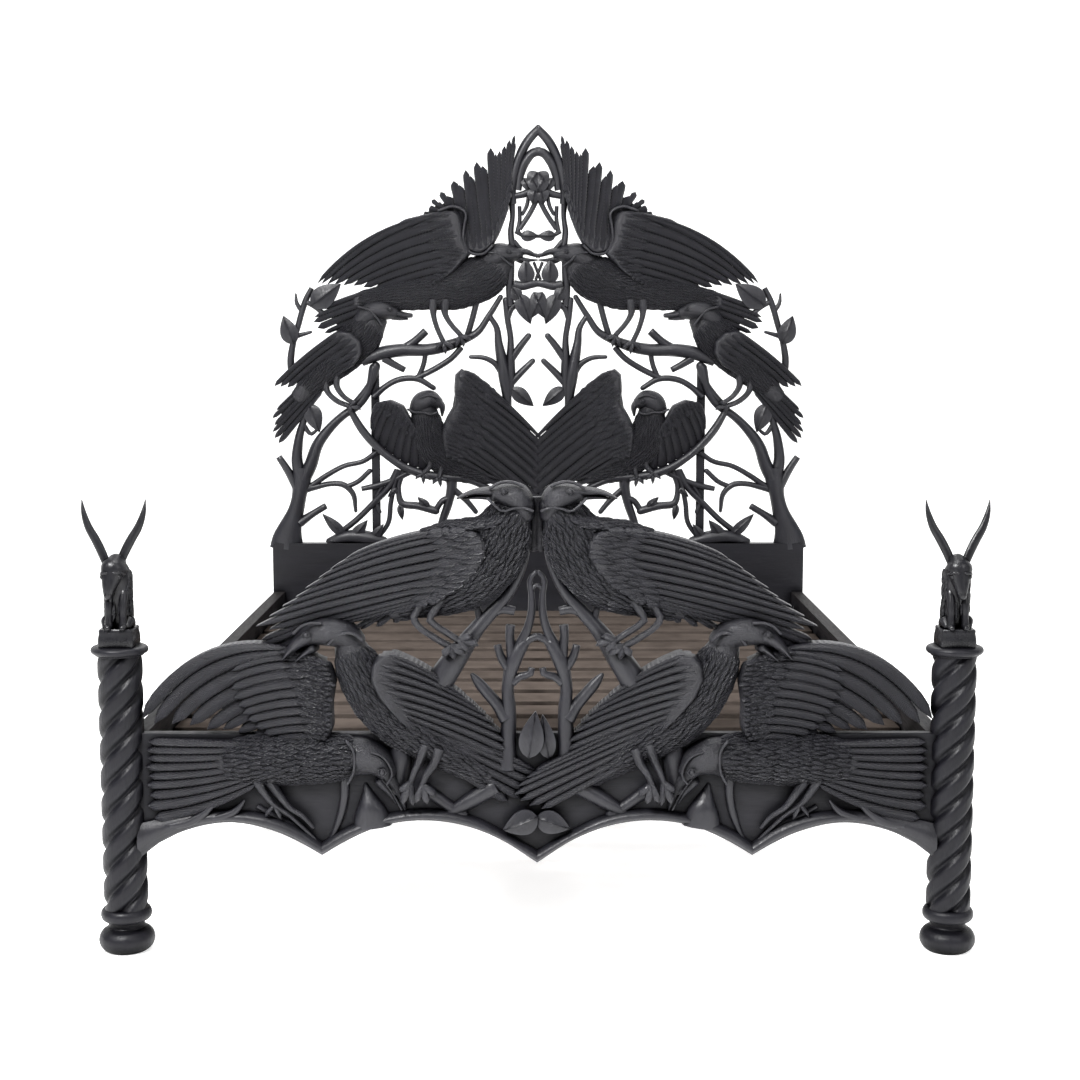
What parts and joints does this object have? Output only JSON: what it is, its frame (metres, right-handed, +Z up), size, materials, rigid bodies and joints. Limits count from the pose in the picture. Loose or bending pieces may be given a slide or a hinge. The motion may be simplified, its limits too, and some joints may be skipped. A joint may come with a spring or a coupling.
{
  "type": "carved bed frame",
  "caption": "Carved wooden bed frame with an openwork headboard and footboard of ravens and branches, twisted foot posts with horned finials, side rails and slats.",
  "frame": {"origin": "on the floor under the middle of the bed's bounding box", "axes": "+Z up, +Y from the foot end towards the headboard, +X to the right seen from the foot end"},
  "size_m": [1.8664, 2.1858, 1.9353],
  "materials": {
    "carved_black": "black stained carved hardwood, satin",
    "turned_black": "black stained turned hardwood, satin",
    "finial_black": "black lacquered carved hardwood, semi gloss",
    "board_black": "black stained flat board, satin",
    "rail_black": "black stained rail, satin, worn top edge",
    "slat_brown": "brown stained softwood, matt",
    "plain_wood": "plain softwood, matt",
    "steel": "zinc plated"
  },
  "bodies": {
    "root": {"apron_branches_left": "carved_black", "apron_branches_right": "carved_black", "apron_rail": "carved_black", "arch": "carved_black", "barrel_nuts": "steel", "beam_cleats": "plain_wood", "beam_legs": "plain_wood", "bed_bolts": "steel", "bun_foot_left": "turned_black", "bun_foot_right": "turned_black", "centre_beam": "plain_wood", "centre_leaves": "carved_black", "centre_trunk_left": "carved_black", "centre_trunk_right": "carved_black", "corner_brackets": "steel", "crown_leaves": "carved_black", "finial_dowels": "plain_wood", "finial_left": "finial_black", "finial_right": "finial_black", "foot_flying_raven_left": "carved_black", "foot_flying_raven_right": "carved_black", "foot_limb_left": "carved_black", "foot_limb_right": "carved_black", "foot_lower_leaves": "carved_black", "foot_lower_raven_left": "carved_black", "foot_lower_raven_right": "carved_black", "foot_panel": "board_black", "foot_trunk_left": "carved_black", "foot_trunk_right": "carved_black", "foot_upper_leaves": "carved_black", "foot_upper_raven_left": "carved_black", "foot_upper_raven_right": "carved_black", "head_leg_left": "board_black", "head_leg_right": "board_black", "headboard_lower_board": "board_black", "headboard_upright_left": "board_black", "headboard_upright_right": "board_black", "perch_branch_left": "carved_black", "perch_branch_right": "carved_black", "side_rail_left": "rail_black", "side_rail_right": "rail_black", "side_raven_left": "carved_black", "side_raven_right": "carved_black", "side_twig_left": "carved_black", "side_twig_right": "carved_black", "slat_ledger_left": "plain_wood", "slat_ledger_right": "plain_wood", "slats": "slat_brown", "spread_raven_left": "carved_black", "spread_raven_right": "carved_black", "top_raven_left": "carved_black", "top_raven_right": "carved_black", "tree_left": "carved_black", "tree_right": "carved_black", "twisted_post_left": "turned_black", "twisted_post_right": "turned_black", "undergrowth_left": "carved_black", "undergrowth_right": "carved_black"}
  },
  "joints": []
}
